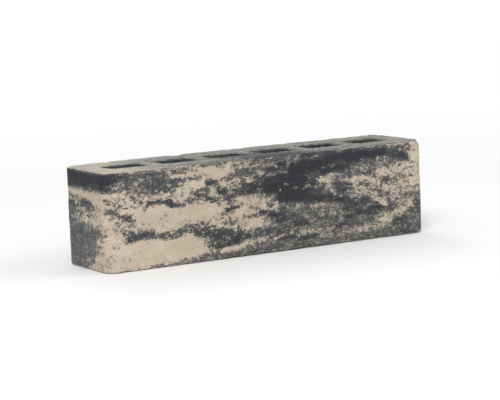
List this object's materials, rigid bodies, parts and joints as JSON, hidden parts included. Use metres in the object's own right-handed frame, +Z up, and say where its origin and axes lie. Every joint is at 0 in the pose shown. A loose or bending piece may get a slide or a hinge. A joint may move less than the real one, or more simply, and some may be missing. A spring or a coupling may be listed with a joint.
{
  "type": "facing brick",
  "caption": "Narrow perforated clay facing brick with rounded upright arrises and a row of through slots, laid in mortar as a wall face.",
  "frame": {"origin": "centre of the bottom bed", "axes": "+X along the length, +Y across the width from the facing side to the back, +Z up from bed to bed"},
  "size_m": [0.25, 0.06, 0.065],
  "materials": {
    "fired_clay": "matt fired clay, cream body with charcoal flashing smeared along the faces"
  },
  "bodies": {
    "root": {"brick": "fired_clay"}
  },
  "joints": []
}
